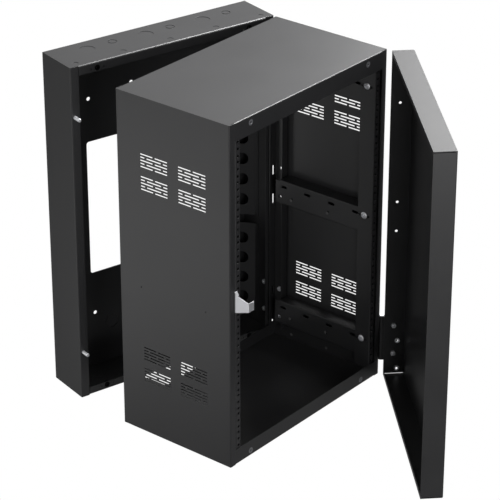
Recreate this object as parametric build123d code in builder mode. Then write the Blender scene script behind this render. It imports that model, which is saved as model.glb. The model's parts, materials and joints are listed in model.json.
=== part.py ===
from build123d import *
import os

# Wall mount network cabinet with a fixed wall section, a rack body that swings out from it, and a
# front door on the body. Millimetres. The origin is the centre of the wall bolt pattern on the back
# plane, X is to the right, -Y is to the front and Z is up.
# Every piece is drawn with the cabinet shut, then turned about its hinge to where it stands open.

# Outer sizes of the three sections
width = 521.0
rack_units = 16
rack_unit = 44.45
rack_margin = 36.9
body_height = rack_units * rack_unit + 2 * rack_margin
wall_height = body_height + 1.0
wall_depth = 110.4
body_depth = 301.2
door_height = body_height
door_depth = 47.9

# How the sections stand to each other
body_drop = 1.5
door_drop = 3.0
swing_gap = 2.0
door_gap = 3.0
swing_open = 15.2
door_open = 44.9

# Sheet metal
sheet = 1.5
rail_sheet = 2.0
bend = 2.5
seat_gap = 0.3

# Wall section
wall_flange = 20.2
wall_header = 21.7
wall_sill = 18.8
cutout_width = 321.0
cutout_margin = 233.5
cutout_height = wall_height - 2 * cutout_margin
cutout_radius = 6.0
wall_bolt_span_x = 304.8
wall_bolt_inset = 133.0
wall_bolt_span_z = wall_height - 2 * wall_bolt_inset
wall_bolt_radius = 4.5
hanging_span_x = 85.0
hanging_inset = 120.0
hanging_height = wall_height / 2 - hanging_inset
cable_knockout_span_x = 219.0
cable_knockout_inset = 99.0
cable_knockout_height = wall_height / 2 - cable_knockout_inset
cable_knockout_radius = 16.0
wall_bend = 4.0
wall_joint = 1.0
pressed = 0.7
groove = 1.2
groove_depth = 1.1
large_knockout_radius = 17.2
small_knockout_radius = 8.2
small_groove = 2.2
knockout_pairs = 3
knockout_pitch = 147.0
knockout_offset = 66.0
knockout_shift = 5.5
large_knockout_inset = 40.0
small_knockout_inset = 34.5
edge_mark_radius = 7.0
edge_mark_pitch = 118.3
edge_mark_count = 5
edge_mark_inset = 16.9

# Corner gussets
gusset_leg = 45.0
gusset_tab = 10.0
gusset_end = 28.0
gusset_gap = 21.5
gusset_height = (wall_height - 2 * gusset_end - 2 * gusset_gap) / 3
gusset_pitch = gusset_height + gusset_gap
gusset_hole_radius = 14.5
gusset_hole_pitch = 50.8
gusset_hole_count = 4

# Locating studs and clinch nuts
stud_radius = 4.0
stud_reach = 19.6
stud_inset = 7.8
stud_end = 113.0
stud_height = wall_height / 2 - stud_end
stud_head_radius = 4.8
stud_head = 2.0
stud_play = 1.0
header_nut_drop = 14.2
sill_nut_rise = 12.0
front_nut_inset = 66.5
front_nut_radius = 6.6
front_nut_side_pitch = 15.6
pilot_radius = 1.6
nut_thread = 2.6
ring_nut_radius = 4.5
collar_margin = 1.2
collar_length = 2.5

# Bolts and nuts
bolt_radius = 3.0
bolt_play = 0.1
bolt_head_radius = 5.5
bolt_head = 2.8
bolt_tip = 1.5
nut_across = 10.0
nut_height = 5.0

# Hinge holes in the side walls
hinge_end = 87.7
hinge_rise = body_height / 2 - hinge_end
hinge_bolt_pitch = 70.3
wall_hinge_inset = 27.4
body_hinge_inset = 19.5
door_hinge_inset = 20.5

# Swing hinges
swing_leaf_height = 110.0
swing_leaf = 2.0
swing_barrel = 4.0
swing_pin = 2.5
swing_knuckles = 5
swing_axis_inset = 10.4
swing_wall_foot = 9.5
swing_body_foot = 13.5
joggle = 1.5
leaf_margin = 10.0
knuckle_play = 0.2
pin_play = 0.05
pin_head = 1.5
pin_head_radius = 3.4

# Door hinge
door_leaf_height = 110.0
door_leaf = 2.5
door_barrel = 6.3
door_pin = 3.0
door_knuckles = 3
door_axis_offset = 9.6
door_axis_inset = 1.7
door_foot = 12.5
door_joggle = 5.0
door_pin_head_radius = 4.6

# Rack body
body_header = 40.3
body_sill = 36.0
body_strip = 16.2
body_pilot_drop = 42.5
body_pilot_insets = (59.6, 236.0)
body_rear_flange = 20.0
body_rear_rail = 28.0
stiffener_depth = 36.5
stiffener_lip = 19.0
stiffener_inset = 3.0
flange_notch_width = 7.0
flange_notch_inset = 5.5
flange_notch_height = 23.0
flange_notch_drop = 8.0
vent_slot = 3.3
vent_row_pitch = 7.0
vent_rows = 5
vent_width = 73.0
vent_land = 5.0
vent_short = 12.0
vent_column_pitch = 101.6
vent_end = 167.0
vent_block_rise = body_height / 2 - vent_end
vent_block_pitch = 51.0

# Rails and their braces
rack_opening = 450.8
rail_face = 15.9
rail_web = 40.0
rail_return = 10.0
rail_margin = 12.0
rack_hole_radius = 3.2
rack_hole_span = 465.1
rack_hole_pitch = 15.875
rail_slot = 30.0
rail_bolt_inset = 25.0
rail_bolt_head_radius = 8.0
rail_bolt_head = 3.0
brace_height = 58.0
brace_drop = 5.7
brace_lip = 10.0
brace_rear_inset = 41.0
brace_tongue = 12.0
brace_access_radius = 4.5
brace_access_inset = 40.5
brace_access_rise = 16.7
brace_front_inset = 15.0
brace_slot = 18.0
brace_slot_pitch = 66.7
brace_slot_count = 4
brace_slot_start = 51.0
brace_bolt_rise = 13.7
brace_hole_radius = 2.5
brace_hole_drop = 9.0
brace_hole_start = 75.0
brace_hole_pitch = 101.6
brace_hole_count = 2

# Front door
door_lip = 10.0
door_bend = 2.5
door_slit = 1.6
ring_nut_inset = 30.0
ring_nut_drop = 39.3

# Strike and cam lock
strike_sheet = 1.5
strike_tab = 12.0
strike_run = 20.6
strike_rise = 24.1
strike_hook = 16.6
strike_height = 46.3
strike_shoulder = 37.0
strike_ear = 5.6
strike_hook_height = 20.4
strike_inset = 10.0
strike_drop = 26.5
lock_inset = 65.5
lock_drop = 16.5
lock_radius = 9.5
lock_flange_radius = 11.5
lock_flange = 2.0
lock_play = 0.1
lock_plug_radius = 6.0
lock_key_slot_width = 1.8
lock_key_slot_length = 7.0
lock_key_slot_depth = 8.0
lock_nut_across = 23.0
lock_nut_height = 4.0
cam_thickness = 2.0
cam_width = 13.0
cam_reach = 32.0
cam_gap = 4.0
cam_square = 6.0
cam_square_play = 0.05
cam_screw_radius = 1.5
cam_screw_head_radius = 4.5
cam_screw_head = 2.5
cam_screw_length = 6.0

# How a cylinder or box stands on its plane
on_floor = (Align.CENTER, Align.CENTER, Align.MIN)
on_top = (Align.CENTER, Align.CENTER, Align.MAX)

# Planes and levels that the pieces share
side = width / 2
inside = side - sheet
wall_top = wall_height / 2
wall_front = -wall_depth
body_mid = -body_drop
body_top = body_mid + body_height / 2
body_floor = body_mid - body_height / 2
rear = wall_front - swing_gap
front = rear - body_depth
door_mid = body_mid - door_drop
rim = front - door_gap
face = rim - door_depth
hinge_levels = [body_mid + step * hinge_rise for step in (-1, 0, 1)]
lower_hinge, middle_hinge, upper_hinge = hinge_levels
swing_x = side + swing_barrel + seat_gap
swing_y = wall_front + swing_axis_inset
door_x = side + door_axis_offset
door_y = front + door_axis_inset
hole_radius = bolt_radius + bolt_play
nut_bore = bolt_radius + pin_play
rail_edge = rack_opening / 2
brace_face = rail_edge + rail_sheet
rail_front = front + sheet + seat_gap
rail_height = rack_unit * rack_units + 2 * rail_margin
rail_bolt_y = front + rail_bolt_inset
door_bolt_y = rim - door_hinge_inset
front_hinge_y = 2 * door_y - door_bolt_y
front_nut_x = side - front_nut_inset
strike_x = strike_inset - side
strike_z = body_mid - strike_drop
lock_x = lock_inset - side
lock_z = body_mid - lock_drop
cam_rear = front - strike_rise + cam_gap + cam_thickness
cam_front = front - strike_rise + cam_gap


def turned(x, y, angle):
    """The place of a body that has turned by angle about the upright axis at x, y."""
    return Pos(x, y, 0) * Rot(0, 0, angle) * Pos(-x, -y, 0)


body_place = turned(swing_x, swing_y, swing_open)
door_place = body_place * turned(door_x, door_y, door_open)


def bent_section(points, thickness, radius, turn):
    """A sheet's section, from the line of its outer face, with rounded bends, thickened to one side."""
    with BuildSketch() as section:
        with BuildLine():
            FilletPolyline(*points, radius=radius)
            offset(amount=thickness, side=turn)
        make_face()
    return section.sketch


def clinch_nut(radius):
    """A round press-in nut with its collar behind the sheet: Z points to the back, 0 is the front face."""
    with BuildPart() as nut:
        Cylinder(radius, sheet, align=on_floor)
        with Locations((0, 0, sheet)):
            Cylinder(radius + collar_margin, collar_length, align=on_floor)
        Cylinder(nut_thread, 2 * (sheet + collar_length), mode=Mode.SUBTRACT)
    return nut.part


def front_nuts(y, floor, top):
    """The four clinch nuts of a section, two in its header and two in its sill."""
    with BuildPart() as nuts:
        for z in (floor + sill_nut_rise, top - header_nut_drop):
            for x in (-front_nut_x, front_nut_x):
                with Locations(Plane(origin=(x, y, z), x_dir=(1, 0, 0), z_dir=(0, 1, 0))):
                    add(clinch_nut(front_nut_radius))
    return nuts.part


def disc(plane, radius, *places):
    """Round faces on a plane."""
    with BuildSketch(plane) as discs:
        with Locations(*places):
            Circle(radius)
    return discs.sketch


def ring(plane, radius, wide, *places):
    """Round grooves on a plane, outside a radius."""
    return disc(plane, radius + wide, *places) - disc(plane, radius, *places)


def bolt(grip, radius=bolt_radius, head_radius=bolt_head_radius, head=bolt_head):
    """A bolt with a domed head: its head stands above the XY plane and its shank points down Z."""
    with BuildPart() as shank:
        Cylinder(head_radius, head, align=on_floor)
        fillet(shank.edges().group_by(Axis.Z)[-1], radius=0.8 * head)
        Cylinder(radius, grip + nut_height + bolt_tip, align=on_top)
    return shank.part


def hex_nut(across=nut_across, height=nut_height, bore=nut_bore):
    """A hexagon nut that stands on the XY plane."""
    with BuildPart() as nut:
        with BuildSketch():
            RegularPolygon(across / 2, 6, major_radius=False)
            Circle(bore, mode=Mode.SUBTRACT)
        extrude(amount=height)
    return nut.part


def hinge_leaf(stand_off, plate, barrel, bore, height, count, own, foot, crest, reach, bolt_y):
    """A hinge leaf round the Z axis, with its plate on the -X side and reaching to +Y.

    Its knuckles are every second one of count, from the one numbered own.
    """
    knuckle = height / count
    with BuildPart() as leaf:
        with BuildSketch():
            with BuildLine():
                Polyline((-barrel, 0), (-barrel, crest), (-stand_off, foot), (-stand_off, reach))
                offset(amount=plate, side=Side.RIGHT)
            make_face()
            Circle(barrel)
        extrude(amount=height / 2, both=True)
        for number in range(1 - own, count, 2):
            with Locations((0, 0, (number + 0.5) * knuckle - height / 2)):
                Cylinder(barrel + seat_gap, knuckle + knuckle_play, mode=Mode.SUBTRACT)
        Cylinder(bore, 2 * height, mode=Mode.SUBTRACT)
        with BuildSketch(Plane.YZ.offset(-stand_off)):
            with Locations((bolt_y, hinge_bolt_pitch / 2), (bolt_y, -hinge_bolt_pitch / 2)):
                Circle(hole_radius)
        extrude(amount=plate, mode=Mode.SUBTRACT)
    return leaf.part


def hinge_pin(radius, height, head_radius):
    """A hinge pin as long as its barrel, hung by its head on the top knuckle."""
    with BuildPart() as pin:
        Cylinder(radius, height)
        with Locations((0, 0, height / 2)):
            Cylinder(head_radius, pin_head, align=on_floor)
    return pin.part


def pair_of(level):
    """The heights of the two bolts of the hinge at a level."""
    return (level - hinge_bolt_pitch / 2, level + hinge_bolt_pitch / 2)


def lock_plane(y):
    """A plane across the lock's axis whose Z points to the back and whose Y points down."""
    return Plane(origin=(lock_x, y, lock_z), x_dir=(1, 0, 0), z_dir=(0, 1, 0))


def inward(hand, x, y, z):
    """A place on a side wall whose Z points to the inside: hand is 1 on the right and -1 on the left."""
    return Plane(origin=(hand * x, y, z), x_dir=(0, 1, 0), z_dir=(-hand, 0, 0))


os.makedirs("parts", exist_ok=True)

# Wall section: the back panel, with its cable cut-out, bolt holes and grooved knockouts
with BuildPart() as wall_back_panel:
    with BuildSketch(Plane.XZ):
        Rectangle(2 * inside, wall_height - 2 * sheet)
        RectangleRounded(cutout_width, cutout_height, cutout_radius, mode=Mode.SUBTRACT)
        with GridLocations(wall_bolt_span_x, wall_bolt_span_z, 2, 2):
            Circle(wall_bolt_radius, mode=Mode.SUBTRACT)
        with Locations((0, hanging_height)):
            with GridLocations(hanging_span_x, 1, 2, 1):
                Circle(wall_bolt_radius, mode=Mode.SUBTRACT)
    extrude(amount=sheet)
    places = [(hand * cable_knockout_span_x / 2, -cable_knockout_height) for hand in (-1, 1)]
    knockouts = ring(Plane.XZ.offset(sheet), cable_knockout_radius, groove, *places)
    extrude(knockouts, amount=-groove_depth, mode=Mode.SUBTRACT)
wall_back_panel.part.label = "wall_back_panel"
export_step(wall_back_panel.part, "parts/wall_back_panel.step")

# Top and bottom of the wall section, each bent down or up into a front flange
for end, hand, drop, nut_inset in (
    ("top", 1, wall_header, header_nut_drop),
    ("bottom", -1, wall_sill, sill_nut_rise),
):
    level = hand * wall_top
    outline = [(0, level), (wall_front, level), (wall_front, level - hand * drop)]
    with BuildPart() as wall_end:
        with BuildSketch(Plane.YZ.offset(-inside)):
            add(bent_section(outline, sheet, wall_bend, Side.LEFT if hand > 0 else Side.RIGHT))
        extrude(amount=2 * inside)
        with BuildSketch(Plane.XZ.offset(wall_depth)):
            with Locations((0, level)):
                with GridLocations(2 * side - wall_flange, 1, 2, 1):
                    Rectangle(wall_flange + 2 * wall_joint, 2 * wall_header)
        extrude(amount=-bend, mode=Mode.SUBTRACT)
        outer = Plane(origin=(0, 0, level), x_dir=(1, 0, 0), z_dir=(0, 0, hand))
        first = knockout_shift - ((knockout_pairs - 1) * knockout_pitch + knockout_offset) / 2
        lefts = [first + pair * knockout_pitch for pair in range(knockout_pairs)]
        blanks = [(left, -hand * large_knockout_inset) for left in lefts]
        rings = [(left + knockout_offset, -hand * small_knockout_inset) for left in lefts]
        steps = [step - (edge_mark_count - 1) / 2 for step in range(edge_mark_count)]
        marks = [(step * edge_mark_pitch, hand * (wall_front + edge_mark_inset)) for step in steps]
        extrude(disc(outer, large_knockout_radius, *blanks), amount=-pressed, mode=Mode.SUBTRACT)
        extrude(disc(outer.offset(-sheet), large_knockout_radius, *blanks), amount=-pressed)
        extrude(ring(outer, small_knockout_radius, small_groove, *rings), amount=-groove_depth, mode=Mode.SUBTRACT)
        extrude(disc(outer, edge_mark_radius, *marks), amount=-pressed, mode=Mode.SUBTRACT)
        nut_level = level - hand * nut_inset
        holes = [(step * front_nut_x, nut_level) for step in (-1, 1)]
        pilots = [(x + step * front_nut_side_pitch, z) for x, z in holes for step in (-1, 1)]
        front_plane = Plane.XZ.offset(wall_depth)
        extrude(disc(front_plane, front_nut_radius, *holes), amount=-sheet, mode=Mode.SUBTRACT)
        extrude(disc(front_plane, pilot_radius, *pilots), amount=-sheet, mode=Mode.SUBTRACT)
    wall_end.part.label = f"wall_{end}_panel"
    export_step(wall_end.part, f"parts/wall_{end}_panel.step")

# Sides of the wall section, with the front flanges and the holes of the swing hinges
for name, hand in (("left", -1), ("right", 1)):
    outline = [(hand * side, 0), (hand * side, wall_front), (hand * (side - wall_flange), wall_front)]
    with BuildPart() as wall_side:
        with BuildSketch(Plane.XY.offset(-wall_top)):
            add(bent_section(outline, sheet, bend, Side.RIGHT if hand > 0 else Side.LEFT))
        extrude(amount=wall_height)
        if hand > 0:
            with BuildSketch(Plane.YZ.offset(inside)):
                for level in (lower_hinge, upper_hinge):
                    for z in pair_of(level):
                        with Locations((wall_front + wall_hinge_inset, z)):
                            Circle(hole_radius)
            extrude(amount=sheet, mode=Mode.SUBTRACT)
        else:
            with BuildSketch(Plane.XZ.offset(wall_depth)):
                with Locations((-side + stud_inset, 0)):
                    with GridLocations(1, 2 * stud_height, 1, 2):
                        Circle(stud_radius + pin_play)
            extrude(amount=-sheet, mode=Mode.SUBTRACT)
    wall_side.part.label = f"wall_side_{name}"
    export_step(wall_side.part, f"parts/wall_side_{name}.step")

# Corner gussets: slanted plates across the rear corners, three to a side, each with its row of holes
half_leg = gusset_leg / 2
for name, hand in (("left", -1), ("right", 1)):
    outline = [
        (hand * (inside - gusset_leg - gusset_tab), -sheet),
        (hand * (inside - gusset_leg), -sheet),
        (hand * inside, -sheet - gusset_leg),
        (hand * inside, -sheet - gusset_leg - gusset_tab),
    ]
    for row, step in (("lower", -1), ("middle", 0), ("upper", 1)):
        level = step * gusset_pitch
        with BuildPart() as gusset:
            with BuildSketch(Plane.XY.offset(level - gusset_height / 2)):
                add(bent_section(outline, sheet, bend, Side.RIGHT if hand > 0 else Side.LEFT))
            extrude(amount=gusset_height)
            centre = (hand * (inside - half_leg), -sheet - half_leg, level)
            with BuildSketch(Plane(origin=centre, x_dir=(hand, -1, 0), z_dir=(-hand, -1, 0))):
                with GridLocations(1, gusset_hole_pitch, 1, gusset_hole_count):
                    Circle(gusset_hole_radius)
            extrude(amount=2 * sheet, both=True, mode=Mode.SUBTRACT)
        gusset.part.label = f"corner_gusset_{name}_{row}"
        export_step(gusset.part, f"parts/corner_gusset_{name}_{row}.step")

# Two studs on the left flange, which enter the body's rear flange when it shuts
with BuildPart() as locating_studs:
    for z in (-stud_height, stud_height):
        centre = (-side + stud_inset, wall_front + sheet, z)
        with BuildSketch(Plane(origin=centre, x_dir=(1, 0, 0), z_dir=(0, 1, 0))):
            Circle(stud_head_radius)
        extrude(amount=stud_head)
        with BuildSketch(Plane(origin=centre, x_dir=(1, 0, 0), z_dir=(0, -1, 0))):
            Circle(stud_radius)
        extrude(amount=sheet + stud_reach)
    tips = locating_studs.edges().filter_by(GeomType.CIRCLE).group_by(Axis.Y)[0]
    chamfer(tips, length=stud_radius / 4)
locating_studs.part.label = "locating_studs"
export_step(locating_studs.part, "parts/locating_studs.step")

# Clinch nuts in the headers and sills of the wall section and the body
with BuildPart() as wall_clinch_nuts:
    add(front_nuts(wall_front, -wall_top, wall_top))
wall_clinch_nuts.part.label = "wall_clinch_nuts"
export_step(wall_clinch_nuts.part, "parts/wall_clinch_nuts.step")

with BuildPart() as body_clinch_nuts:
    add(front_nuts(front, body_floor, body_top))
body_clinch_nuts.part.label = "body_clinch_nuts"
export_step(body_place * body_clinch_nuts.part, "parts/body_clinch_nuts.step")

# Swing hinges: a leaf on the wall section, a leaf on the body and a pin, at two levels
wall_bolt_y = wall_front + wall_hinge_inset
body_bolt_y = rear - body_hinge_inset
swing_stand_off = swing_x - side
wall_leaf = hinge_leaf(
    swing_stand_off, swing_leaf, swing_barrel, swing_pin + pin_play, swing_leaf_height, swing_knuckles, 0,
    swing_wall_foot, swing_wall_foot - joggle, wall_bolt_y - swing_y + leaf_margin, wall_bolt_y - swing_y,
)
body_leaf = mirror(
    hinge_leaf(
        swing_stand_off, swing_leaf, swing_barrel, swing_pin + pin_play, swing_leaf_height, swing_knuckles, 1,
        swing_body_foot, swing_body_foot - joggle, swing_y - body_bolt_y + leaf_margin, swing_y - body_bolt_y,
    ),
    about=Plane.XZ,
)
for row, level in (("lower", lower_hinge), ("upper", upper_hinge)):
    with BuildPart() as swing_wall_leaf:
        with Locations((swing_x, swing_y, level)):
            add(wall_leaf)
    swing_wall_leaf.part.label = f"swing_hinge_wall_leaf_{row}"
    export_step(swing_wall_leaf.part, f"parts/swing_hinge_wall_leaf_{row}.step")

    with BuildPart() as swing_body_leaf:
        with Locations((swing_x, swing_y, level)):
            add(body_leaf)
    swing_body_leaf.part.label = f"swing_hinge_body_leaf_{row}"
    export_step(body_place * swing_body_leaf.part, f"parts/swing_hinge_body_leaf_{row}.step")

    with BuildPart() as swing_hinge_pin:
        with Locations((swing_x, swing_y, level)):
            add(hinge_pin(swing_pin, swing_leaf_height, pin_head_radius))
    swing_hinge_pin.part.label = f"swing_hinge_pin_{row}"
    export_step(swing_hinge_pin.part, f"parts/swing_hinge_pin_{row}.step")

# Bolts through the swing hinge leaves, with their nuts inside
swing_levels = pair_of(lower_hinge) + pair_of(upper_hinge)
for name, y, plies, place in (("wall", wall_bolt_y, 1, Location()), ("body", body_bolt_y, 2, body_place)):
    with BuildPart() as swing_bolts:
        with Locations(*[inward(1, side + swing_leaf, y, z).reverse() for z in swing_levels]):
            add(bolt(swing_leaf + plies * sheet))
    swing_bolts.part.label = f"swing_hinge_{name}_bolts"
    export_step(place * swing_bolts.part, f"parts/swing_hinge_{name}_bolts.step")

    with BuildPart() as swing_nuts:
        with Locations(*[inward(1, side - plies * sheet, y, z) for z in swing_levels]):
            add(hex_nut())
    swing_nuts.part.label = f"swing_hinge_{name}_nuts"
    export_step(place * swing_nuts.part, f"parts/swing_hinge_{name}_nuts.step")

# Body: top and bottom, each bent into a front flange and a rear flange
for end, hand, level, drop, nut_inset in (
    ("top", 1, body_top, body_header, header_nut_drop),
    ("bottom", -1, body_floor, body_sill, sill_nut_rise),
):
    outline = [
        (rear, level - hand * body_rear_rail),
        (rear, level),
        (front, level),
        (front, level - hand * drop),
    ]
    with BuildPart() as body_end:
        with BuildSketch(Plane.YZ.offset(-inside)):
            add(bent_section(outline, sheet, bend, Side.LEFT if hand > 0 else Side.RIGHT))
        extrude(amount=2 * inside)
        with BuildSketch(Plane.XZ.offset(-front)):
            with Locations((0, level)):
                with GridLocations(2 * side - body_strip, 1, 2, 1):
                    Rectangle(body_strip, 2 * body_header)
        extrude(amount=-bend, mode=Mode.SUBTRACT)
        with BuildSketch(Plane.XZ.offset(-rear)):
            with Locations((0, level)):
                with GridLocations(2 * side - body_rear_flange, 1, 2, 1):
                    Rectangle(body_rear_flange, 2 * body_header)
        extrude(amount=bend, mode=Mode.SUBTRACT)
        holes = [(step * front_nut_x, level - hand * nut_inset) for step in (-1, 1)]
        extrude(disc(Plane.XZ.offset(-front), front_nut_radius, *holes), amount=-sheet, mode=Mode.SUBTRACT)
    body_end.part.label = f"body_{end}_panel"
    export_step(body_place * body_end.part, f"parts/body_{end}_panel.step")

# Body sides: rear flange, side wall and front strip from one sheet, with vents and hinge holes
body_centre_y = (rear + front) / 2
slot_pitch = (vent_width + vent_land) / 2
long_slot = slot_pitch - vent_land
wide_slot = vent_width - 2 * (vent_short + vent_land)
for name, hand in (("left", -1), ("right", 1)):
    outline = [
        (hand * (side - body_rear_flange), rear),
        (hand * side, rear),
        (hand * side, front),
        (hand * (side - body_strip), front),
    ]
    with BuildPart() as body_side:
        with BuildSketch(Plane.XY.offset(body_floor)):
            add(bent_section(outline, sheet, bend, Side.RIGHT if hand > 0 else Side.LEFT))
        extrude(amount=body_height)
        with BuildSketch(Plane.YZ.offset(hand * inside)):
            with Locations((body_centre_y, body_mid)):
                with GridLocations(1, 2 * vent_block_rise, 1, 2):
                    with GridLocations(vent_column_pitch, vent_block_pitch, 2, 2):
                        for row in range(vent_rows):
                            height = (row - (vent_rows - 1) / 2) * vent_row_pitch
                            if row % 2 == 0:
                                with Locations((-slot_pitch / 2, height), (slot_pitch / 2, height)):
                                    Rectangle(long_slot, vent_slot)
                            else:
                                with Locations((0, height)):
                                    Rectangle(wide_slot, vent_slot)
                                edge = (vent_width - vent_short) / 2
                                with Locations((-edge, height), (edge, height)):
                                    Rectangle(vent_short, vent_slot)
            if hand > 0:
                for level in hinge_levels:
                    for z in pair_of(level):
                        with Locations((body_bolt_y, z), (front_hinge_y, z)):
                            Circle(hole_radius)
        extrude(amount=hand * sheet, mode=Mode.SUBTRACT)
        if hand < 0:
            with BuildSketch(Plane.XZ.offset(-rear)):
                with Locations((-side + stud_inset, 0)):
                    with GridLocations(1, 2 * stud_height, 1, 2):
                        Circle(stud_radius + stud_play)
            extrude(amount=sheet, mode=Mode.SUBTRACT)
            pilots = [(rear - inset, body_mid - body_pilot_drop) for inset in body_pilot_insets]
            extrude(disc(Plane.YZ.offset(-inside), pilot_radius, *pilots), amount=-sheet, mode=Mode.SUBTRACT)
        else:
            with BuildSketch(Plane.XZ.offset(-rear)):
                for level in hinge_levels:
                    for z in pair_of(level):
                        with Locations((side - flange_notch_inset - flange_notch_width / 2, z - flange_notch_drop)):
                            Rectangle(flange_notch_width, flange_notch_height)
            extrude(amount=sheet, mode=Mode.SUBTRACT)
    body_side.part.label = f"body_side_{name}"
    export_step(body_place * body_side.part, f"parts/body_side_{name}.step")

# Rear stiffeners: angles behind the hinge bolts, from floor flange to top flange
stiffener_height = body_height - 2 * body_rear_rail
for name, hand in (("left", -1), ("right", 1)):
    outline = [
        (hand * inside, rear - stiffener_inset),
        (hand * inside, rear - stiffener_depth),
        (hand * (inside - stiffener_lip), rear - stiffener_depth),
    ]
    with BuildPart() as stiffener:
        with BuildSketch(Plane.XY.offset(body_mid - stiffener_height / 2)):
            add(bent_section(outline, sheet, bend, Side.RIGHT if hand > 0 else Side.LEFT))
        extrude(amount=stiffener_height)
        if hand > 0:
            with BuildSketch(Plane.YZ.offset(inside)):
                for level in hinge_levels:
                    for z in pair_of(level):
                        with Locations((body_bolt_y, z)):
                            Circle(hole_radius)
            extrude(amount=-sheet, mode=Mode.SUBTRACT)
    stiffener.part.label = f"rear_stiffener_{name}"
    export_step(body_place * stiffener.part, f"parts/rear_stiffener_{name}.step")

# Rail braces: lipped channels on the side walls that carry the rails, three to a side
brace_levels = [body_mid - brace_drop + step * hinge_rise for step in (-1, 0, 1)]
brace_rear = rear - brace_rear_inset
brace_length = brace_rear - (front + brace_front_inset)
half_brace = brace_height / 2
for name, hand in (("left", -1), ("right", 1)):
    for row, level in zip(("lower", "middle", "upper"), brace_levels):
        outline = [
            (hand * inside, level + half_brace - brace_lip),
            (hand * inside, level + half_brace),
            (hand * brace_face, level + half_brace),
            (hand * brace_face, level - half_brace),
            (hand * inside, level - half_brace),
            (hand * inside, level - half_brace + brace_lip),
        ]
        with BuildPart() as brace:
            with BuildSketch(Plane.XZ.offset(-brace_rear)):
                add(bent_section(outline, sheet, bend, Side.LEFT if hand > 0 else Side.RIGHT))
            extrude(amount=brace_length)
            with BuildSketch(Plane.YZ.offset(hand * brace_face)):
                with Locations((brace_rear, level)):
                    Rectangle(brace_tongue, brace_height - 2 * bend, align=(Align.MIN, Align.CENTER))
            extrude(amount=hand * sheet)
            with BuildSketch(Plane.YZ.offset(hand * brace_face)):
                access_height = level + brace_drop - hinge_bolt_pitch / 2 + brace_access_rise
                with Locations((rear - brace_access_inset, access_height)):
                    Circle(brace_access_radius)
                for step in range(brace_slot_count):
                    with Locations((rear - brace_slot_start - step * brace_slot_pitch, level + brace_bolt_rise)):
                        SlotOverall(brace_slot, 2 * hole_radius)
                with Locations((rail_bolt_y, level + brace_bolt_rise)):
                    Circle(hole_radius)
                for step in range(brace_hole_count):
                    with Locations((rear - brace_hole_start - step * brace_hole_pitch, level - brace_hole_drop)):
                        Circle(brace_hole_radius)
            extrude(amount=hand * sheet, mode=Mode.SUBTRACT)
            if hand > 0:
                relief = nut_across + 2 * bolt_tip
                relief_depth = nut_height + 2 * bolt_tip
                for hinge_level in hinge_levels:
                    for z in pair_of(hinge_level):
                        with Locations((inside - relief_depth / 2, front_hinge_y, z)):
                            Box(relief_depth, relief, relief, mode=Mode.SUBTRACT)
        brace.part.label = f"rail_brace_{name}_{row}"
        export_step(body_place * brace.part, f"parts/rail_brace_{name}_{row}.step")

# Front rails with their rack holes, three to a unit
rail_outer = rail_edge + rail_face
for name, hand in (("left", -1), ("right", 1)):
    outline = [
        (hand * rail_outer, rail_front + rail_return),
        (hand * rail_outer, rail_front),
        (hand * rail_edge, rail_front),
        (hand * rail_edge, rail_front + rail_web),
    ]
    with BuildPart() as rail:
        with BuildSketch(Plane.XY.offset(body_mid - rail_height / 2)):
            add(bent_section(outline, rail_sheet, bend, Side.RIGHT if hand > 0 else Side.LEFT))
        extrude(amount=rail_height)
        with BuildSketch(Plane.XZ.offset(-rail_front)):
            with Locations((hand * rack_hole_span / 2, body_mid)):
                with GridLocations(1, rack_unit, 1, rack_units):
                    with GridLocations(1, rack_hole_pitch, 1, 3):
                        Circle(rack_hole_radius)
        extrude(amount=-rail_sheet, mode=Mode.SUBTRACT)
        with BuildSketch(Plane.YZ.offset(hand * rail_edge)):
            for level in brace_levels:
                with Locations((rail_bolt_y, level + brace_bolt_rise)):
                    SlotOverall(rail_slot, 2 * hole_radius)
        extrude(amount=hand * rail_sheet, mode=Mode.SUBTRACT)
    rail.part.label = f"front_rail_{name}"
    export_step(body_place * rail.part, f"parts/front_rail_{name}.step")

# Rail bolts and nuts
rail_places = [(hand, level + brace_bolt_rise) for hand in (-1, 1) for level in brace_levels]
with BuildPart() as rail_bolts:
    for hand, z in rail_places:
        with Locations(inward(hand, rail_edge, rail_bolt_y, z)):
            add(bolt(rail_sheet + sheet, head_radius=rail_bolt_head_radius, head=rail_bolt_head))
rail_bolts.part.label = "rail_bolts"
export_step(body_place * rail_bolts.part, "parts/rail_bolts.step")

with BuildPart() as rail_nuts:
    for hand, z in rail_places:
        with Locations(inward(hand, brace_face + sheet, rail_bolt_y, z).reverse()):
            add(hex_nut())
rail_nuts.part.label = "rail_nuts"
export_step(body_place * rail_nuts.part, "parts/rail_nuts.step")

# Strike: folded back over its own tab, slanted forward and inward to a hook for the cam
outline = [
    (strike_x + strike_tab, front),
    (strike_x, front),
    (strike_x + strike_run, front - strike_rise),
    (strike_x + strike_run + strike_hook, front - strike_rise),
]
slant = (strike_run**2 + strike_rise**2) ** 0.5
slant_plane = Plane(
    origin=(strike_x, front, strike_z), x_dir=(strike_run, -strike_rise, 0), z_dir=(-strike_rise, -strike_run, 0)
)
with BuildPart() as strike:
    with BuildSketch(Plane.XY.offset(strike_z)):
        add(bent_section(outline, strike_sheet, 1.5 * strike_sheet, Side.LEFT))
    extrude(amount=strike_height)
    with BuildSketch(slant_plane):
        with BuildLine():
            Polyline(
                (-strike_ear, 0),
                (slant + strike_hook, 0),
                (slant + strike_hook, strike_hook_height),
                (slant, strike_hook_height),
                (1.7 * strike_ear, strike_shoulder),
                (1.7 * strike_ear, strike_height - strike_ear),
                (-strike_ear, strike_height - strike_ear),
                close=True,
            )
        make_face()
        with Locations((strike_ear, strike_height - strike_ear)):
            Circle(strike_ear)
    extrude(amount=2 * slant, both=True, mode=Mode.INTERSECT)
strike.part.label = "strike"
export_step(body_place * strike.part, "parts/strike.step")

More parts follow.
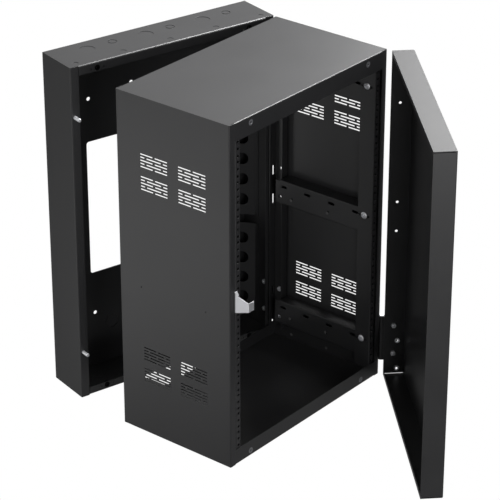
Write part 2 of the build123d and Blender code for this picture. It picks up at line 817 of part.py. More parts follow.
# Front door: a pan with lips at its top and bottom
with BuildPart() as door_panel:
    with Locations((0, (rim + face) / 2, door_mid)):
        Box(2 * side, door_depth, door_height)
    fillet(door_panel.faces().sort_by(Axis.Y)[0].edges(), radius=door_bend)
    with Locations((0, rim, door_mid)):
        Box(
            2 * inside,
            door_depth - sheet,
            door_height - 2 * sheet,
            align=(Align.CENTER, Align.MAX, Align.CENTER),
            mode=Mode.SUBTRACT,
        )
    with BuildSketch(Plane.XZ.offset(-rim)):
        with Locations((0, door_mid)):
            with GridLocations(1, door_height - door_lip, 1, 2):
                Rectangle(2 * inside, door_lip)
    extrude(amount=sheet)
    with BuildSketch(Plane.XZ.offset(-face)):
        with Locations((lock_x, lock_z)):
            Circle(lock_radius + lock_play)
    extrude(amount=-sheet, mode=Mode.SUBTRACT)
    with BuildSketch(Plane.YZ.offset(inside)):
        for level in hinge_levels:
            for z in pair_of(level):
                with Locations((door_bolt_y, z)):
                    Circle(hole_radius)
        for z in pair_of(lower_hinge - ring_nut_drop):
            with Locations((rim - ring_nut_inset, z)):
                Circle(ring_nut_radius)
    extrude(amount=sheet, mode=Mode.SUBTRACT)
    slit_depth = door_depth - door_bend
    with Locations((0, rim - slit_depth / 2, door_mid)):
        with GridLocations(inside + side, 1, 2, 1):
            for z in (-1, 1):
                with Locations((0, 0, z * (door_height / 2 - sheet - door_slit / 2))):
                    Box(sheet, slit_depth, door_slit, mode=Mode.SUBTRACT)
door_panel.part.label = "door_panel"
export_step(door_place * door_panel.part, "parts/door_panel.step")

with BuildPart() as door_clinch_nuts:
    for z in pair_of(lower_hinge - ring_nut_drop):
        with Locations(inward(1, side, rim - ring_nut_inset, z)):
            add(clinch_nut(ring_nut_radius))
door_clinch_nuts.part.label = "door_clinch_nuts"
export_step(door_place * door_clinch_nuts.part, "parts/door_clinch_nuts.step")

# Lower door hinge
door_reach = door_y - door_bolt_y
carried_leaf, turning_leaf = [
    hinge_leaf(
        door_axis_offset, door_leaf, door_barrel, door_pin + pin_play, door_leaf_height, door_knuckles, own,
        door_foot, door_foot - door_joggle, door_reach + leaf_margin, door_reach,
    )
    for own in (0, 1)
]
turning_leaf = mirror(turning_leaf, about=Plane.XZ)
with BuildPart() as door_hinge_body_leaf:
    with Locations((door_x, door_y, lower_hinge)):
        add(carried_leaf)
door_hinge_body_leaf.part.label = "door_hinge_body_leaf"
export_step(body_place * door_hinge_body_leaf.part, "parts/door_hinge_body_leaf.step")

with BuildPart() as door_hinge_door_leaf:
    with Locations((door_x, door_y, lower_hinge)):
        add(turning_leaf)
door_hinge_door_leaf.part.label = "door_hinge_door_leaf"
export_step(door_place * door_hinge_door_leaf.part, "parts/door_hinge_door_leaf.step")

with BuildPart() as door_hinge_pin:
    with Locations((door_x, door_y, lower_hinge)):
        add(hinge_pin(door_pin, door_leaf_height, door_pin_head_radius))
door_hinge_pin.part.label = "door_hinge_pin"
export_step(body_place * door_hinge_pin.part, "parts/door_hinge_pin.step")

# Bolts and nuts of the door hinge
lower_pair = pair_of(lower_hinge)
for name, y, place in (("body", front_hinge_y, body_place), ("door", door_bolt_y, door_place)):
    with BuildPart() as door_hinge_bolts:
        with Locations(*[inward(1, side + door_leaf, y, z).reverse() for z in lower_pair]):
            add(bolt(door_leaf + sheet))
    door_hinge_bolts.part.label = f"door_hinge_{name}_bolts"
    export_step(place * door_hinge_bolts.part, f"parts/door_hinge_{name}_bolts.step")

    with BuildPart() as door_hinge_nuts:
        with Locations(*[inward(1, inside, y, z) for z in lower_pair]):
            add(hex_nut())
    door_hinge_nuts.part.label = f"door_hinge_{name}_nuts"
    export_step(place * door_hinge_nuts.part, f"parts/door_hinge_{name}_nuts.step")

# Cam lock in the door, unlocked: its cam hangs down beside the strike
with BuildPart() as lock_housing:
    with Locations(lock_plane(face)):
        Cylinder(lock_radius, cam_front - seat_gap - face, align=on_floor)
        Cylinder(lock_flange_radius, lock_flange, align=on_top)
        Cylinder(lock_plug_radius + pin_play, 2 * door_depth, mode=Mode.SUBTRACT)
lock_housing.part.label = "lock_housing"
export_step(door_place * lock_housing.part, "parts/lock_housing.step")

with BuildPart() as lock_nut:
    with Locations(lock_plane(face + sheet)):
        add(hex_nut(lock_nut_across, lock_nut_height, lock_radius + lock_play))
lock_nut.part.label = "lock_nut"
export_step(door_place * lock_nut.part, "parts/lock_nut.step")

with BuildPart() as lock_plug:
    with Locations(lock_plane(face - lock_flange)):
        Cylinder(lock_plug_radius, cam_front - face + lock_flange, align=on_floor)
        Box(lock_key_slot_width, lock_key_slot_length, lock_key_slot_depth, align=on_floor, mode=Mode.SUBTRACT)
    with Locations(lock_plane(cam_front)):
        Box(cam_square, cam_square, cam_thickness, align=on_floor)
    with Locations(lock_plane(cam_rear)):
        Cylinder(cam_screw_radius + pin_play, cam_screw_length, align=on_top, mode=Mode.SUBTRACT)
lock_plug.part.label = "lock_plug"
export_step(door_place * lock_plug.part, "parts/lock_plug.step")

with BuildPart() as lock_cam:
    with BuildSketch(lock_plane(cam_front)):
        Circle(cam_width / 2)
        Rectangle(cam_width, cam_reach, align=(Align.CENTER, Align.MIN))
        Rectangle(cam_square + 2 * cam_square_play, cam_square + 2 * cam_square_play, mode=Mode.SUBTRACT)
    extrude(amount=cam_thickness)
lock_cam.part.label = "lock_cam"
export_step(door_place * lock_cam.part, "parts/lock_cam.step")

with BuildPart() as cam_screw:
    with Locations(lock_plane(cam_rear)):
        Cylinder(cam_screw_head_radius, cam_screw_head, align=on_floor)
        Cylinder(cam_screw_radius, cam_screw_length - seat_gap, align=on_top)
cam_screw.part.label = "cam_screw"
export_step(door_place * cam_screw.part, "parts/cam_screw.step")
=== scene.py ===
"""Looks of a wall mount network cabinet: satin black steel, bright hardware, a white studio."""

import json
import math

import bmesh
import bpy
from mathutils import Matrix, Vector


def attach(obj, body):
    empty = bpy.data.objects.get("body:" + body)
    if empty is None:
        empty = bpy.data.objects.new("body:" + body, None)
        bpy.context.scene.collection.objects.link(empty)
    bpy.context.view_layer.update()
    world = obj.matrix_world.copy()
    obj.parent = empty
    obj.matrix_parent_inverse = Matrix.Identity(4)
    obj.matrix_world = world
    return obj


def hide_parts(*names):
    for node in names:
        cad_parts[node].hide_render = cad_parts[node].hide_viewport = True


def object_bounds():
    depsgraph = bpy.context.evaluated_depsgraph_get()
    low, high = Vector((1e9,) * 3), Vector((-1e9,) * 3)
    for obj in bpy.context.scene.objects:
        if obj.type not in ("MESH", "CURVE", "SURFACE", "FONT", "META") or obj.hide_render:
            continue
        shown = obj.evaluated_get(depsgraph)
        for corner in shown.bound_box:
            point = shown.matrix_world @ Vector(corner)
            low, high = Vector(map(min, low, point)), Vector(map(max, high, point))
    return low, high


bl_info = {
    "name": "Wall mount network cabinet",
    "version": (1, 0, 0),
    "blender": (4, 5, 0),
    "location": "View3D > Sidebar > Cabinet",
    "description": "Dresses the cabinet's solids with coats, screws and welds in a white studio",
    "category": "Object",
}

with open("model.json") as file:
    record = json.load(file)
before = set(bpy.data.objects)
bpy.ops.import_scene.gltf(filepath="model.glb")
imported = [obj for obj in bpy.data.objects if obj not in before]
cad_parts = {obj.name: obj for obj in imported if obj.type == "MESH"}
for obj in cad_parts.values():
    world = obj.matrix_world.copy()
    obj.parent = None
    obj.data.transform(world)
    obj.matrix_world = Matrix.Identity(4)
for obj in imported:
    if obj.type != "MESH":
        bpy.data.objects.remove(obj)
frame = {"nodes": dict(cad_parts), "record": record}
CAD_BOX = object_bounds()
JOINTS = {joint["name"]: joint for joint in frame["record"]["behaviour"]["joints"]}
CARRIED = {"cabinet_body": ("body_swing",), "front_door": ("door_swing", "body_swing")}
MILLIMETRE = 0.001
JOIN_WITHIN = 0.001 * MILLIMETRE
NOISE_MIDDLE = 0.5

# Powder coat: waves of noise to the metre, shares of its colour, swings of its roughness
CLOUD_WAVES = 9.0
CLOUD_DETAIL = 4.0
CLOUD_DARK = (0.85, 0.85, 0.85)
CLOUD_PALE = (1.2, 1.2, 1.2)
CLOUD_SWING = 0.08
GRAIN_WAVES = 0.7  # to one grain's width
GRAIN_SWING = 0.06
GRAIN_DEPTH = 0.02 * MILLIMETRE
# Upward faces are lightened towards grey, partly as dust and partly as painted light on the tops
DUST_AND_TOP_LIGHT_FROM = 0.6  # upward part of the normal where dust begins to lie
DUST_AND_TOP_LIGHT_GREY = 0.5
DUST_AND_TOP_LIGHT_SHARE = 0.02
COAT_EDGE = 0.5 * MILLIMETRE

# Zinc plate and chrome, in the same measures
BLOOM_WAVES = 60.0
BLOOM_DETAIL = 5.0
BLOOM_TINT = (0.86, 0.88, 0.92)
BLOOM_SWING = 0.16
ZINC_ROUGHNESS = 0.42
WIPE_WAVES = 1500.0
WIPE_DEPTH = 0.005 * MILLIMETRE
BUFF_WAVES = 400.0
BUFF_DETAIL = 4.0
BUFF_TINT = (0.94, 0.94, 0.94)
BUFF_SWING = 0.08
CHROME_ROUGHNESS = 0.1
PLATED_EDGE = 0.3 * MILLIMETRE
EDGE_SAMPLES = 4

SHEET_WORDS = ("panel", "side", "gusset", "leaf", "stiffener", "brace", "rail")
ZINC_WORDS = ("_bolts", "_nuts", "_studs", "strike", "_pin", "cam_screw", "lock_cam")
CHROME_WORDS = ("lock_housing", "lock_plug", "lock_nut")

# Each piece of screws, the CAD node that it stands for, and its body
SCREWS = (
    ("rail_screws", "rail_bolts", "cabinet_body"),
    ("swing_hinge_body_screws", "swing_hinge_body_bolts", "cabinet_body"),
    ("swing_hinge_wall_screws", "swing_hinge_wall_bolts", "wall_section"),
    ("door_hinge_body_screws", "door_hinge_body_bolts", "cabinet_body"),
    ("door_hinge_door_screws", "door_hinge_door_bolts", "front_door"),
)
HEAD_SHARE = 0.9  # a plain screw's points out past this share of its radius are its head's
UNDER_HEAD = 0.1 * MILLIMETRE  # its points lower than this are its shank's
AROUND = 32  # points round a turned form
SHARP_FROM = math.radians(35.0)
DOME = (8, 20, 32, 44, 56, 68, 80, 90)  # rings of the head, in degrees from its top
RECESS_ARM = 0.72  # half lengths and half widths of the cross, in head radii
RECESS_BAR = 0.19
RECESS_FOOT = 0.6  # width of the recess at its foot, in its widths at the top
RECESS_FLOOR = 0.05  # height of that foot and of the cutter's top, in head heights
RECESS_TOP = 1.5
THREAD_DEPTH = 0.6  # in pitches
THREAD_RINGS = 4  # to a pitch
TIP_SHARE = 0.8  # radius at the tip, and what one pitch adds to it, in shank radii
TIP_GAIN = 0.2
SPIN_STEP = 37.0  # degrees from one screw's cross to the next one's

# Height and radius of each ring of a weld mark, in radii of the mark
WELD_RINGS = ((0.03, 0.5), (0.11, 0.7), (0.11, 0.85), (0.0, 1.0), (-0.03, 1.0))
# Places of the welds on the shut cabinet's right half, in metres
SIDE_FACE = 0.259
SIDE_WELD_HEIGHT = -0.3812
SIDE_WELD_DEPTHS = (-0.1644, -0.266, -0.3676)
BRACE_FACE = 0.2274
BRACE_WELD_DEPTHS = (-0.1845, -0.2861)
BRACE_HEIGHTS = (-0.0203, -0.32, 0.279)

# Azimuth clockwise from +Y and height in degrees, distance and size in metres
LAMPS = (
    (60.0, 35.0, 2.4, 1.2),
    (35.0, 45.0, 2.6, 1.6),
    (-75.0, 35.0, 2.0, 1.0),
    (-165.0, 10.0, 2.4, 1.2),
    (-66.0, -24.0, 1.9, 1.4),
    (88.0, 57.0, 3.0, 0.65),
)
FLOOR_REACH = 12.0
FLOOR_ROUGHNESS = 0.9
VIEW_DEPTH = 50.0


class Value:
    """A shader socket that takes part in Python sums and adds its Math nodes as it goes."""

    def __init__(self, tree, socket):
        self.tree = tree
        self.socket = socket

    def maths(self, operation, first, second):
        node = self.tree.nodes.new("ShaderNodeMath")
        node.operation = operation
        for socket, item in zip(node.inputs, (first, second)):
            if isinstance(item, Value):
                self.tree.links.new(item.socket, socket)
            else:
                socket.default_value = item
        return Value(self.tree, node.outputs[0])

    def __add__(self, other):
        return self.maths("ADD", self, other)

    def __radd__(self, other):
        return self.maths("ADD", other, self)

    def __sub__(self, other):
        return self.maths("SUBTRACT", self, other)

    def __rsub__(self, other):
        return self.maths("SUBTRACT", other, self)

    def __mul__(self, other):
        return self.maths("MULTIPLY", self, other)

    def __rmul__(self, other):
        return self.maths("MULTIPLY", other, self)


class Nodes:
    """The nodes of a material or of the world."""

    def __init__(self, tree):
        self.tree = tree

    def node(self, kind, settings=None, inputs=None, output=0):
        """Adds a node with its settings made first, then its inputs given or linked."""
        node = self.tree.nodes.new("ShaderNode" + kind)
        for key, value in (settings or {}).items():
            setattr(node, key, value)
        for key, value in (inputs or {}).items():
            if isinstance(value, Value):
                self.tree.links.new(value.socket, node.inputs[key])
            else:
                node.inputs[key].default_value = value
        return Value(self.tree, node.outputs[output])

    def ray(self, kind):
        """One on rays of that kind, nought on the others."""
        return self.node("LightPath", output=f"Is {kind} Ray")


class Finish(Nodes):
    """One material, built node by node on a Principled shader."""

    def __init__(self, name, **fixed):
        self.material = bpy.data.materials.new(name)
        self.material.use_nodes = True
        super().__init__(self.material.node_tree)
        self.shader = self.tree.nodes["Principled BSDF"]
        for key, value in fixed.items():
            self.shader.inputs[key.replace("_", " ")].default_value = value

    def feed(self, key, value):
        """Links what changes over the surface to the shader."""
        self.tree.links.new(value.socket, self.shader.inputs[key])

    def noise(self, waves, detail=2.0):
        """Cloudy noise from 0 to 1 that lies still on the object, in waves to the metre."""
        place = self.node("TexCoord", output="Object")
        return self.node("TexNoise", inputs={"Vector": place, "Scale": waves, "Detail": detail})

    def mix(self, factor, first, second):
        """A colour between two colours."""
        inputs = {0: factor, 6: first, 7: second}
        return self.node("Mix", {"data_type": "RGBA"}, inputs, output=2)

    def soft_edge(self, radius):
        """A normal that rounds the edges by that radius in metres."""
        return self.node("Bevel", {"samples": EDGE_SAMPLES}, {"Radius": radius})

    def bump(self, height, distance, normal):
        """A bump of that distance in metres on top of a normal."""
        inputs = {"Height": height, "Distance": distance, "Normal": normal}
        return self.node("Bump", inputs=inputs)


def grey(level):
    """A neutral colour."""
    return (level, level, level, 1.0)


def tinted(colour, shares):
    """The colour with each channel times its share."""
    return (*(level * share for level, share in zip(colour, shares)), 1.0)


def powder_coat(name, colour, roughness, grain):
    """Satin powder coat: fine even grain, slow cloudiness, and a little dust with painted top light
    where it faces up.
    """
    coat = Finish(name, IOR=1.5, Specular_IOR_Level=0.5)
    cloud = coat.noise(CLOUD_WAVES, CLOUD_DETAIL)
    speck = coat.noise(GRAIN_WAVES / grain)
    normal = coat.node("NewGeometry", output="Normal")
    up = coat.node("SeparateXYZ", inputs={0: normal}, output="Z")
    slope = {"Value": up, "From Min": DUST_AND_TOP_LIGHT_FROM, "From Max": 1.0}
    # Painted top light and dust: the more the surface faces up, the more its colour is lightened
    # towards grey
    dust_and_top_light = coat.node("MapRange", {"clamp": True}, slope) * cloud
    base = coat.mix(cloud, tinted(colour, CLOUD_DARK), tinted(colour, CLOUD_PALE))
    coat.feed("Base Color", coat.mix(dust_and_top_light * DUST_AND_TOP_LIGHT_SHARE, base, grey(DUST_AND_TOP_LIGHT_GREY)))
    cloud_swing = (cloud - NOISE_MIDDLE) * CLOUD_SWING
    grain_swing = (speck - NOISE_MIDDLE) * GRAIN_SWING
    coat.feed("Roughness", roughness + cloud_swing + grain_swing)
    coat.feed("Normal", coat.bump(speck, GRAIN_DEPTH, coat.soft_edge(COAT_EDGE)))
    return coat.material


def zinc_plate(name, colour):
    """Bright zinc plate with the faint bloom and wipe marks of passivated steel."""
    plate = Finish(name, Metallic=1.0)
    bloom = plate.noise(BLOOM_WAVES, BLOOM_DETAIL)
    wipe = plate.noise(WIPE_WAVES)
    plate.feed("Base Color", plate.mix(bloom, colour, tinted(colour, BLOOM_TINT)))
    plate.feed("Roughness", ZINC_ROUGHNESS + bloom * BLOOM_SWING)
    plate.feed("Normal", plate.bump(wipe, WIPE_DEPTH, plate.soft_edge(PLATED_EDGE)))
    return plate.material


def polished_chrome(name, colour):
    """Plated die casting with faint buffing marks."""
    chrome = Finish(name, Metallic=1.0)
    buff = chrome.noise(BUFF_WAVES, BUFF_DETAIL)
    chrome.feed("Base Color", chrome.mix(buff, colour, tinted(colour, BUFF_TINT)))
    chrome.feed("Roughness", CHROME_ROUGHNESS + buff * BUFF_SWING)
    chrome.feed("Normal", chrome.soft_edge(PLATED_EDGE))
    return chrome.material


class CabinetFinishes(bpy.types.PropertyGroup):
    """Colours and grain of the finishes"""

    coat: bpy.props.FloatVectorProperty(
        name="Powder coat",
        description="Colour of the sheet metal",
        subtype="COLOR", size=4, min=0, max=1, default=(0.016, 0.016, 0.017, 1),
    )
    weld_coat: bpy.props.FloatVectorProperty(
        name="Weld coat",
        description="Colour of the thin coat on spot welds",
        subtype="COLOR", size=4, min=0, max=1, default=(0.09, 0.09, 0.09, 1),
    )
    coat_roughness: bpy.props.FloatProperty(
        name="Coat roughness",
        description="How matt the powder coat is",
        subtype="FACTOR", min=0, max=1, default=0.40,
    )
    coat_grain: bpy.props.FloatProperty(
        name="Coat grain",
        description="Size of the powder coat's grain",
        unit="LENGTH", min=0.0001, default=0.0009,
    )
    zinc: bpy.props.FloatVectorProperty(
        name="Zinc plate",
        description="Colour of screws, studs and strike",
        subtype="COLOR", size=4, min=0, max=1, default=(0.86, 0.86, 0.87, 1),
    )
    nut: bpy.props.FloatVectorProperty(
        name="Clinch nuts",
        description="Colour of the body's clinch nuts",
        subtype="COLOR", size=4, min=0, max=1, default=(0.36, 0.36, 0.37, 1),
    )
    dark_nut: bpy.props.FloatVectorProperty(
        name="Dark nuts",
        description="Colour of the wall section's clinch nuts",
        subtype="COLOR", size=4, min=0, max=1, default=(0.006, 0.006, 0.006, 1),
    )
    chrome: bpy.props.FloatVectorProperty(
        name="Chrome",
        description="Colour of the lock",
        subtype="COLOR", size=4, min=0, max=1, default=(0.8, 0.8, 0.81, 1),
    )


class CabinetHardware(bpy.types.PropertyGroup):
    """Sizes of the screws' threads and of the weld marks"""

    thread_pitch: bpy.props.FloatProperty(
        name="Thread pitch",
        description="Pitch of the screws' threads",
        unit="LENGTH", min=0.0004, default=0.0008,
    )
    weld_mark: bpy.props.FloatProperty(
        name="Weld mark",
        description="Radius of a spot weld's mark",
        unit="LENGTH", min=0.001, default=0.0034,
    )


class CabinetStudio(bpy.types.PropertyGroup):
    """Floor, light and camera"""

    floor: bpy.props.FloatVectorProperty(
        name="Floor",
        description="Colour of the floor",
        subtype="COLOR", size=4, min=0, max=1, default=(0.8, 0.8, 0.8, 1),
    )
    floor_drop: bpy.props.FloatProperty(
        name="Floor drop",
        description="How far the floor lies under the cabinet",
        unit="LENGTH", min=0, default=0.6,
    )
    floor_glint: bpy.props.FloatProperty(
        name="Floor glint",
        description="How white the floor is in reflections",
        subtype="FACTOR", min=0, max=1, default=0.23,
    )
    surround: bpy.props.FloatProperty(
        name="Surround",
        description="Strength of the light that comes from all round",
        min=0, default=0.0,
    )
    surround_glint: bpy.props.FloatProperty(
        name="Surround glint",
        description="How white the surround is in reflections",
        subtype="FACTOR", min=0, max=1, default=0.6,
    )
    lamps: bpy.props.FloatVectorProperty(
        name="Lamps",
        description="Power of each lamp in watts, in the order of the table in the script",
        size=6, min=0, default=(17, 2.7, 6, 30, 7, 170),
    )
    eye: bpy.props.FloatVectorProperty(
        name="Eye",
        description="Where the camera stands",
        subtype="TRANSLATION", size=3, default=(-2.5962, -4.0215, 2.2614),
    )
    heading: bpy.props.FloatProperty(
        name="Heading",
        description="Camera's turn from straight ahead to the right",
        subtype="ANGLE", default=math.radians(35.53),
    )
    tilt: bpy.props.FloatProperty(
        name="Tilt",
        description="How far the camera looks down",
        subtype="ANGLE", default=math.radians(26.75),
    )
    lens: bpy.props.FloatProperty(
        name="Lens",
        description="Focal length on a 36 mm sensor, in millimetres",
        min=1, default=170.65,
    )


def paint(material, *words):
    """Gives the material to every CAD node whose name holds one of the words."""
    nodes = frame["nodes"].items()
    painted = [node for name, node in nodes if any(word in name for word in words)]
    if not painted:
        raise RuntimeError(f"no node is called {words}")
    for node in painted:
        node.data.materials.clear()
        node.data.materials.append(material)


def from_shut(body):
    """The matrix that takes a place on the body of the shut cabinet to where it is at rest."""
    matrix = Matrix.Identity(4)
    for name in CARRIED.get(body, ()):
        joint = JOINTS[name]
        axis = Matrix.Translation(joint["pos_m"])
        turn = Matrix.Rotation(math.radians(-joint["range_deg"][0]), 4, Vector(joint["axis"]))
        matrix = matrix @ axis @ turn @ axis.inverted()
    return matrix


def solids_of(name, body):
    """The separate solids of a CAD node, each as its points on the shut cabinet."""
    mesh = bmesh.new()
    mesh.from_mesh(frame["nodes"][name].data)
    mesh.transform(from_shut(body).inverted())
    bmesh.ops.remove_doubles(mesh, verts=mesh.verts, dist=JOIN_WITHIN)
    left = set(mesh.verts)
    solids = []
    for seed in mesh.verts:
        if seed not in left:
            continue
        left.remove(seed)
        solid, reached = [], [seed]
        while reached:
            point = reached.pop()
            solid.append(point.co.copy())
            for edge in point.link_edges:
                other = edge.other_vert(point)
                if other in left:
                    left.remove(other)
                    reached.append(other)
        solids.append(solid)
    mesh.free()
    return solids


def screw_sizes(points):
    """Where a screw's head meets the sheet, which way the head points, and its four sizes."""
    low, high = (Vector(map(pick, zip(*points))) for pick in (min, max))
    size, centre = high - low, (low + high) / 2
    axis = min(range(3), key=lambda i: abs(size[(i + 1) % 3] - size[(i + 2) % 3]))
    along = Vector([float(i == axis) for i in range(3)])
    spans = []
    for point in points:
        height = (point - centre).dot(along)
        spans.append((height, ((point - centre) - along * height).length))
    end = size[axis] / 4
    if max(r for h, r in spans if h > end) < max(r for h, r in spans if h < -end):
        along = -along
        spans = [(-h, r) for h, r in spans]
    head_radius = max(r for h, r in spans)
    underside = min(h for h, r in spans if r > HEAD_SHARE * head_radius)
    shank_radius = max(r for h, r in spans if h < underside - UNDER_HEAD)
    head = size[axis] / 2 - underside
    return centre + along * underside, along, head_radius, head, shank_radius, size[axis] - head


def turned_mesh(heights, radius_at):
    """A closed turned form with a ring at each height from the top down.

    radius_at gives the radius from the ring's number, its height and the angle.
    """
    mesh = bmesh.new()
    angles = [2 * math.pi * k / AROUND for k in range(AROUND)]
    rings = []
    for number, height in enumerate(heights):
        ring = []
        for angle in angles:
            radius = radius_at(number, height, angle)
            place = (radius * math.cos(angle), radius * math.sin(angle), height)
            ring.append(mesh.verts.new(place))
        rings.append(ring)
    for upper, lower in zip(rings, rings[1:]):
        for k in range(AROUND):
            mesh.faces.new((upper[k - 1], lower[k - 1], lower[k], upper[k]))
    mesh.faces.new(rings[0])
    mesh.faces.new(reversed(rings[-1]))
    bmesh.ops.recalc_face_normals(mesh, faces=mesh.faces)
    return mesh


def finished_mesh(mesh, name):
    """Turns a bmesh into a mesh with smooth rounds and sharp edges."""
    for face in mesh.faces:
        face.smooth = True
    done = bpy.data.meshes.new(name)
    mesh.to_mesh(done)
    mesh.free()
    done.set_sharp_from_angle(angle=SHARP_FROM)
    return done


def hollowed(blank, tool):
    """The first mesh with the second cut out of it."""
    pair = [bpy.data.objects.new(mesh.name, mesh) for mesh in (blank, tool)]
    for item in pair:
        bpy.context.collection.objects.link(item)
    cut = pair[0].modifiers.new("recess", "BOOLEAN")
    cut.operation = "DIFFERENCE"
    cut.object = pair[1]
    bpy.context.view_layer.update()
    evaluated = pair[0].evaluated_get(bpy.context.evaluated_depsgraph_get())
    done = bpy.data.meshes.new_from_object(evaluated)
    for item in pair:
        mesh = item.data
        bpy.data.objects.remove(item)
        bpy.data.meshes.remove(mesh)
    return done


def cross_mesh(head_radius, head):
    """The tapered cross that is cut out of a screw's head."""
    arm, bar = RECESS_ARM * head_radius, RECESS_BAR * head_radius
    cross = [
        (arm, bar), (bar, bar), (bar, arm), (-bar, arm), (-bar, bar), (-arm, bar),
        (-arm, -bar), (-bar, -bar), (-bar, -arm), (bar, -arm), (bar, -bar), (arm, -bar),
    ]
    mesh = bmesh.new()
    top = [mesh.verts.new((x, y, RECESS_TOP * head)) for x, y in cross]
    foot = [
        mesh.verts.new((RECESS_FOOT * x, RECESS_FOOT * y, RECESS_FLOOR * head)) for x, y in cross
    ]
    mesh.faces.new(top)
    mesh.faces.new(reversed(foot))
    for k in range(len(cross)):
        mesh.faces.new((top[k - 1], foot[k - 1], foot[k], top[k]))
    bmesh.ops.recalc_face_normals(mesh, faces=mesh.faces)
    return finished_mesh(mesh, "screw_recess")


def screw_mesh(head_radius, head, shank_radius, shank, pitch):
    """A domed screw with a cross recess and a thread; its head stands above the XY plane."""
    dome = [math.radians(angle) for angle in DOME]
    depth = THREAD_DEPTH * pitch
    rows = int(shank / pitch * THREAD_RINGS)
    heights = [head * math.cos(angle) for angle in dome]
    heights += [-shank * row / rows for row in range(rows + 1)]

    def radius_at(number, height, angle):
        if number < len(dome):
            return head_radius * math.sin(dome[number])
        turn = (height / pitch + angle / (2 * math.pi)) % 1.0
        cut = depth * (1.0 - abs(2.0 * turn - 1.0))
        from_tip = min(1.0, (height + shank) / pitch)
        return (shank_radius - cut) * (TIP_SHARE + TIP_GAIN * from_tip)

    blank = finished_mesh(turned_mesh(heights, radius_at), "screw_blank")
    return hollowed(blank, cross_mesh(head_radius, head))


def copies(pattern, places):
    """A bmesh that holds the pattern once at each place."""
    joined = bmesh.new()
    for place in places:
        first = len(joined.verts)
        joined.from_mesh(pattern)
        joined.verts.ensure_lookup_table()
        bmesh.ops.transform(joined, matrix=place, verts=joined.verts[first:])
    return joined


def new_object(name, mesh, material):
    """An object of that mesh and material, linked to the scene."""
    mesh.materials.append(material)
    made = bpy.data.objects.new(name, mesh)
    bpy.context.collection.objects.link(made)
    return made


def screws(name, node, body, material):
    """Screws with recess and thread in place of a CAD node's plain ones."""
    plain = [screw_sizes(points) for points in solids_of(node, body)]
    pattern = screw_mesh(*plain[0][2:], bpy.context.scene.cabinet_hardware.thread_pitch)
    places = []
    for number, (seat, along, *_) in enumerate(plain):
        turn = Vector((0, 0, 1)).rotation_difference(along).to_matrix().to_4x4()
        spin = Matrix.Rotation(math.radians(SPIN_STEP * number), 4, "Z")
        places.append(from_shut(body) @ Matrix.Translation(seat) @ turn @ spin)
    piece = new_object(name, finished_mesh(copies(pattern, places), name), material)
    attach(piece, body)
    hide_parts(node)


def weld_places():
    """Where the welds are at rest, each with its mark turned to the inside of the body."""
    right = [(SIDE_FACE, depth, SIDE_WELD_HEIGHT) for depth in SIDE_WELD_DEPTHS]
    right += [
        (BRACE_FACE, depth, height) for depth in BRACE_WELD_DEPTHS for height in BRACE_HEIGHTS
    ]
    places = []
    for hand in (1, -1):
        turn = Matrix.Rotation(math.radians(-90.0 * hand), 4, "Y")
        for across, depth, height in right:
            seat = Matrix.Translation((hand * across, depth, height))
            places.append(from_shut("cabinet_body") @ seat @ turn)
    return places


class CABINET_OT_sheet_metal(bpy.types.Operator):
    """Coats the sheets, rails, braces and hinge leaves"""

    bl_idname = "cabinet.sheet_metal"
    bl_label = "Sheet metal"

    def execute(self, context):
        look = context.scene.cabinet_finishes
        coat = powder_coat("powder_coat", tuple(look.coat), look.coat_roughness, look.coat_grain)
        paint(coat, *SHEET_WORDS)
        return {"FINISHED"}


class CABINET_OT_hardware(bpy.types.Operator):
    """Plates the fasteners, pins, strike and cam, and finishes the clinch nuts and the lock"""

    bl_idname = "cabinet.hardware"
    bl_label = "Hardware"

    def execute(self, context):
        look = context.scene.cabinet_finishes
        paint(zinc_plate("zinc_plate", tuple(look.zinc)), *ZINC_WORDS)
        paint(zinc_plate("grey_plate", tuple(look.nut)), "body_clinch_nuts")
        paint(zinc_plate("dark_plate", tuple(look.dark_nut)), "wall_clinch_nuts")
        paint(polished_chrome("lock_chrome", tuple(look.chrome)), *CHROME_WORDS)
        return {"FINISHED"}


class CABINET_OT_weld_marks(bpy.types.Operator):
    """Leaves the shallow round marks of spot welds on the body's sides and braces"""

    bl_idname = "cabinet.weld_marks"
    bl_label = "Weld marks"

    def execute(self, context):
        size = context.scene.cabinet_hardware.weld_mark
        heights = [size * height for height, radius in WELD_RINGS]
        mark = turned_mesh(heights, lambda number, height, angle: size * WELD_RINGS[number][1])
        pattern = finished_mesh(mark, "weld_mark")
        mesh = finished_mesh(copies(pattern, weld_places()), "weld_marks")
        look = context.scene.cabinet_finishes
        coat = powder_coat("weld_coat", tuple(look.weld_coat), look.coat_roughness, look.coat_grain)
        piece = new_object("weld_marks", mesh, coat)
        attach(piece, "cabinet_body")
        return {"FINISHED"}


class CABINET_OT_screws(bpy.types.Operator):
    """Puts screws with recess and thread in place of the plain ones"""

    bl_idname = "cabinet.screws"
    bl_label = "Screws"

    def execute(self, context):
        material = bpy.data.materials["zinc_plate"]
        for name, node, body in SCREWS:
            screws(name, node, body, material)
        return {"FINISHED"}


def heading_way(azimuth, height, length=1.0):
    """The way at an azimuth clockwise from +Y and a height above level, in radians."""
    flat = math.cos(height) * length
    return Vector((math.sin(azimuth) * flat, math.cos(azimuth) * flat, math.sin(height) * length))


def stand(name, data, place, facing):
    """Puts a lamp or a camera at a place, facing that way."""
    made = bpy.data.objects.new(name, data)
    made.location = place
    made.rotation_mode = "QUATERNION"
    made.rotation_quaternion = facing.to_track_quat("-Z", "Y")
    bpy.context.collection.objects.link(made)
    return made


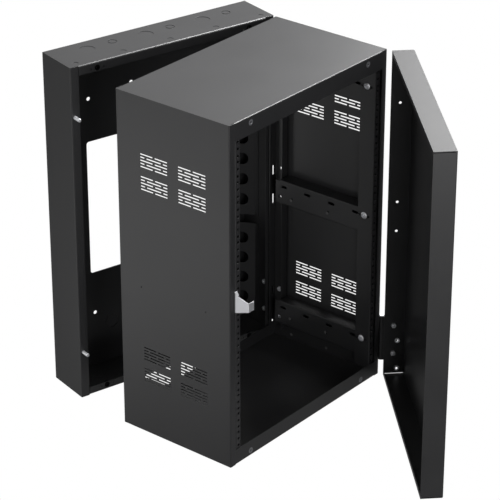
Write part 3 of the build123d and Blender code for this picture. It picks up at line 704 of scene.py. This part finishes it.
def white_floor(look, level):
    """A pale floor at that level, white to the camera and dimmer in reflections."""
    white = Finish("studio_floor", Roughness=FLOOR_ROUGHNESS, Base_Color=tuple(look.floor))
    shown = Value(white.tree, white.shader.outputs[0])
    for kind, brightness in (("Glossy", look.floor_glint), ("Camera", 1.0)):
        glow = white.node("Emission", inputs={"Color": grey(brightness), "Strength": 1.0})
        shown = white.node("MixShader", inputs={0: white.ray(kind), 1: shown, 2: glow})
    output = white.tree.nodes["Material Output"]
    white.tree.links.new(shown.socket, output.inputs["Surface"])
    mesh = bpy.data.meshes.new("studio_floor")
    signs = ((-1, -1), (1, -1), (1, 1), (-1, 1))
    corners = [(x * FLOOR_REACH, y * FLOOR_REACH, level) for x, y in signs]
    mesh.from_pydata(corners, [], [(0, 1, 2, 3)])
    new_object("studio_floor", mesh, white.material)


def white_surround(look):
    """A world that the camera sees as white, with its own strengths in gloss and as light."""
    world = bpy.data.worlds.new("studio_surround")
    world.use_nodes = True
    nodes = Nodes(world.node_tree)
    background = nodes.tree.nodes["Background"]
    background.inputs["Color"].default_value = grey(1.0)
    camera_ray, glossy_ray = nodes.ray("Camera"), nodes.ray("Glossy")
    other_ray = 1.0 - camera_ray - glossy_ray
    strength = camera_ray + glossy_ray * look.surround_glint + other_ray * look.surround
    nodes.tree.links.new(strength.socket, background.inputs["Strength"])
    return world


def soft_lamps(look, middle):
    """Square lamps that stand round the middle of the cabinet and face it."""
    for number, (azimuth, height, distance, size) in enumerate(LAMPS):
        if not look.lamps[number]:
            continue
        light = bpy.data.lights.new(f"lamp_{number}", "AREA")
        light.energy = look.lamps[number]
        light.size = size
        place = middle + heading_way(math.radians(azimuth), math.radians(height), distance)
        stand(light.name, light, place, middle - place)


class CABINET_OT_studio(bpy.types.Operator):
    """Sets the pale floor, the white surround, the soft lamps and the camera"""

    bl_idname = "cabinet.studio"
    bl_label = "Studio"

    def execute(self, context):
        look = context.scene.cabinet_studio
        low, high = CAD_BOX
        white_floor(look, low.z - look.floor_drop)
        context.scene.world = white_surround(look)
        soft_lamps(look, (low + high) / 2)
        view = bpy.data.cameras.new("photo_camera")
        view.lens = look.lens
        view.clip_end = VIEW_DEPTH
        camera = stand(view.name, view, look.eye, heading_way(look.heading, -look.tilt))
        context.scene.camera = camera
        context.scene.view_settings.view_transform = "Standard"
        return {"FINISHED"}


class CABINET_PT_panel(bpy.types.Panel):
    """Lists the pieces and the settings"""

    bl_idname = "CABINET_PT_panel"
    bl_label = "Wall mount cabinet"
    bl_space_type = "VIEW_3D"
    bl_region_type = "UI"
    bl_category = "Cabinet"

    def draw(self, context):
        layout = self.layout
        for operator in OPERATORS:
            layout.operator(operator.bl_idname)
        for name in GROUPS:
            group = getattr(context.scene, name)
            box = layout.box()
            for key in group.__annotations__:
                box.prop(group, key)


GROUPS = {
    "cabinet_finishes": CabinetFinishes,
    "cabinet_hardware": CabinetHardware,
    "cabinet_studio": CabinetStudio,
}
OPERATORS = (
    CABINET_OT_sheet_metal,
    CABINET_OT_hardware,
    CABINET_OT_weld_marks,
    CABINET_OT_screws,
    CABINET_OT_studio,
)


def register():
    for name, group in GROUPS.items():
        bpy.utils.register_class(group)
        setattr(bpy.types.Scene, name, bpy.props.PointerProperty(type=group))
    for cls in (*OPERATORS, CABINET_PT_panel):
        bpy.utils.register_class(cls)


def unregister():
    for cls in (CABINET_PT_panel, *reversed(OPERATORS)):
        bpy.utils.unregister_class(cls)
    for name, group in GROUPS.items():
        delattr(bpy.types.Scene, name)
        bpy.utils.unregister_class(group)


def main():
    register()
    bpy.ops.cabinet.sheet_metal()
    bpy.ops.cabinet.hardware()
    bpy.ops.cabinet.weld_marks()
    bpy.ops.cabinet.screws()
    bpy.ops.cabinet.studio()


if __name__ == "__main__":
    main()
